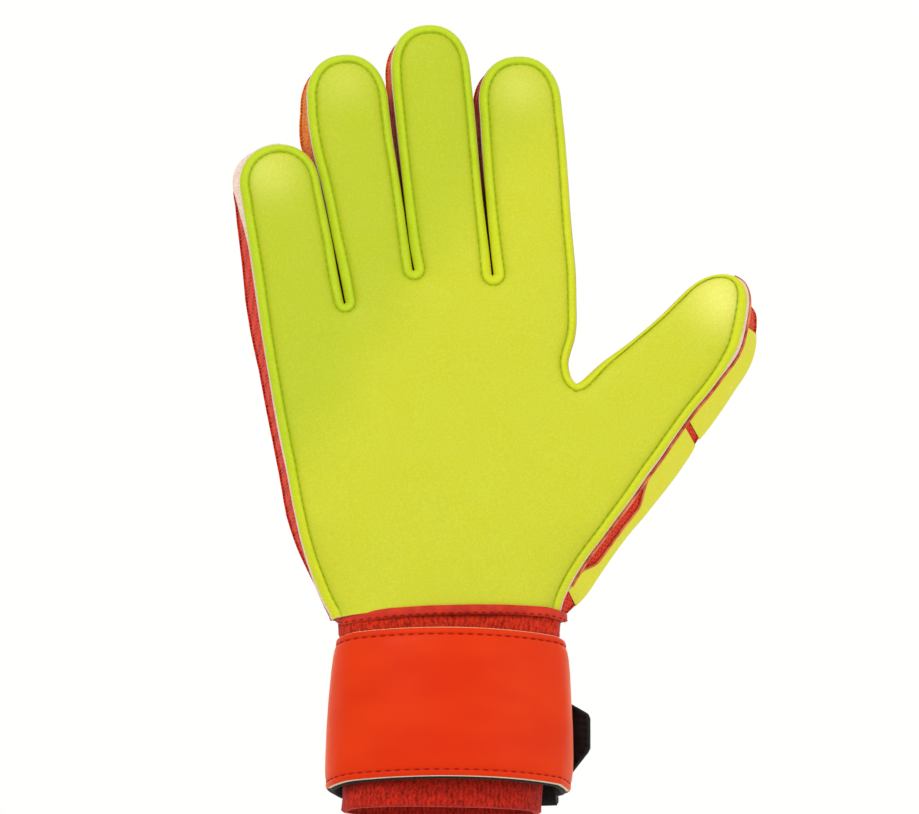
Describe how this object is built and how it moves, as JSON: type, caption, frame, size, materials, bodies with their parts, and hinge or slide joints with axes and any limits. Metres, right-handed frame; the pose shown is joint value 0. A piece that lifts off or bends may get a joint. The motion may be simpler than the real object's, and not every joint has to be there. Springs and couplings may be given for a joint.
{
  "type": "goalkeeper glove",
  "caption": "Right-hand goalkeeper glove with a flat-cut latex palm, mesh-sided fingers, a padded backhand and a hook-and-loop wrist strap.",
  "frame": {"origin": "centre of the wrist opening, at the bottom edge of the inner cuff", "axes": "+Z along the hand towards the fingers, -Y out of the palm, +X towards the thumb"},
  "size_m": [0.1965, 0.052, 0.2892],
  "materials": {
    "latex": "matte smooth latex foam",
    "foam_pad": "matte embossed foam under stretch fabric",
    "mesh": "open knitted mesh",
    "knit": "ribbed elastic knit",
    "binding": "smooth folded binding tape",
    "strap": "soft matte coated fabric",
    "strap_foam": "cut foam edge",
    "lining": "brushed lining",
    "loop": "loop fastener pile",
    "hook": "hook fastener",
    "tab": "moulded rubber"
  },
  "bodies": {
    "cuff": {"cuff_bandage": "knit", "strap_cover": "strap", "strap_foam": "strap_foam", "strap_lining": "lining", "loop_panel": "loop"},
    "strap_tail": {"tail_cover": "strap", "tail_foam": "strap_foam", "tail_lining": "lining", "hook_patch": "hook", "pull_tab": "tab"},
    "hand": {"palm_latex": "latex", "palm_lining": "lining", "backhand_mesh": "mesh", "backhand_pad": "foam_pad", "knuckle_pad": "foam_pad", "pinky_side_gusset": "mesh", "thumb_web_gusset": "mesh", "thumb_side_gusset": "mesh", "wrist_binding": "binding", "wrist_elastic": "knit"},
    "pinky_proximal": {"pinky_proximal_gusset": "mesh", "pinky_proximal_mesh": "mesh", "pinky_proximal_pad": "foam_pad", "pinky_proximal_palm": "latex"},
    "pinky_distal": {"pinky_distal_gusset": "mesh", "pinky_distal_mesh": "mesh", "pinky_distal_pad": "foam_pad", "pinky_distal_palm": "latex"},
    "ring_proximal": {"ring_proximal_gusset": "mesh", "ring_proximal_mesh": "mesh", "ring_proximal_pad": "foam_pad", "ring_proximal_palm": "latex"},
    "ring_distal": {"ring_distal_gusset": "mesh", "ring_distal_mesh": "mesh", "ring_distal_pad": "foam_pad", "ring_distal_palm": "latex"},
    "middle_proximal": {"middle_proximal_gusset": "mesh", "middle_proximal_mesh": "mesh", "middle_proximal_pad": "foam_pad", "middle_proximal_palm": "latex"},
    "middle_distal": {"middle_distal_gusset": "mesh", "middle_distal_mesh": "mesh", "middle_distal_pad": "foam_pad", "middle_distal_palm": "latex"},
    "index_proximal": {"index_proximal_gusset": "mesh", "index_proximal_mesh": "mesh", "index_proximal_pad": "foam_pad", "index_proximal_palm": "latex"},
    "index_distal": {"index_distal_gusset": "mesh", "index_distal_mesh": "mesh", "index_distal_pad": "foam_pad", "index_distal_palm": "latex"},
    "thumb_proximal": {"thumb_proximal_gusset": "mesh", "thumb_proximal_mesh": "mesh", "thumb_proximal_pad": "foam_pad", "thumb_proximal_palm": "latex"},
    "thumb_distal": {"thumb_distal_gusset": "mesh", "thumb_distal_mesh": "mesh", "thumb_distal_pad": "foam_pad", "thumb_distal_palm": "latex"}
  },
  "joints": [
    {"name": "wrist_flex", "type": "hinge", "parent": "cuff", "child": "hand", "pos_m": [0, 0, 0.066], "axis": [1, 0, 0], "range_deg": [-20, 20], "stiffness_Nm_per_rad": 1},
    {"name": "strap_open", "type": "hinge", "parent": "cuff", "child": "strap_tail", "pos_m": [-0.0446, 0.00028, 0.0345], "axis": [0, 0, 1], "range_deg": [0, 150]},
    {"name": "pinky_base", "type": "hinge", "parent": "hand", "child": "pinky_proximal", "pos_m": [-0.057, -0.0085, 0.197], "axis": [0.9816, 0, 0.1908], "range_deg": [0, 70], "stiffness_Nm_per_rad": 0.06},
    {"name": "pinky_middle", "type": "hinge", "parent": "pinky_proximal", "child": "pinky_distal", "pos_m": [-0.0612, -0.0085, 0.2186], "axis": [0.9816, 0, 0.1908], "range_deg": [0, 80], "stiffness_Nm_per_rad": 0.03},
    {"name": "ring_base", "type": "hinge", "parent": "hand", "child": "ring_proximal", "pos_m": [-0.0296, -0.0085, 0.207], "axis": [0.9912, 0, 0.1323], "range_deg": [0, 70], "stiffness_Nm_per_rad": 0.06},
    {"name": "ring_middle", "type": "hinge", "parent": "ring_proximal", "child": "ring_distal", "pos_m": [-0.0341, -0.0085, 0.2407], "axis": [0.9912, 0, 0.1323], "range_deg": [0, 80], "stiffness_Nm_per_rad": 0.03},
    {"name": "middle_base", "type": "hinge", "parent": "hand", "child": "middle_proximal", "pos_m": [-0.0006, -0.0085, 0.209], "axis": [0.9954, 0, 0.0958], "range_deg": [0, 70], "stiffness_Nm_per_rad": 0.06},
    {"name": "middle_middle", "type": "hinge", "parent": "middle_proximal", "child": "middle_distal", "pos_m": [-0.00424, -0.0085, 0.24682], "axis": [0.9954, 0, 0.0958], "range_deg": [0, 80], "stiffness_Nm_per_rad": 0.03},
    {"name": "index_base", "type": "hinge", "parent": "hand", "child": "index_proximal", "pos_m": [0.0307, -0.0085, 0.208], "axis": [0.9962, 0, 0.0872], "range_deg": [0, 70], "stiffness_Nm_per_rad": 0.06},
    {"name": "index_middle", "type": "hinge", "parent": "index_proximal", "child": "index_distal", "pos_m": [0.02782, -0.0085, 0.24087], "axis": [0.9962, 0, 0.0872], "range_deg": [0, 80], "stiffness_Nm_per_rad": 0.03},
    {"name": "thumb_base", "type": "hinge", "parent": "hand", "child": "thumb_proximal", "pos_m": [0.0699, -0.0085, 0.1508], "axis": [0.7193, 0, -0.6947], "range_deg": [0, 50], "stiffness_Nm_per_rad": 0.06},
    {"name": "thumb_middle", "type": "hinge", "parent": "thumb_proximal", "child": "thumb_distal", "pos_m": [0.09005, -0.0085, 0.17166], "axis": [0.7193, 0, -0.6947], "range_deg": [0, 70], "stiffness_Nm_per_rad": 0.03}
  ]
}
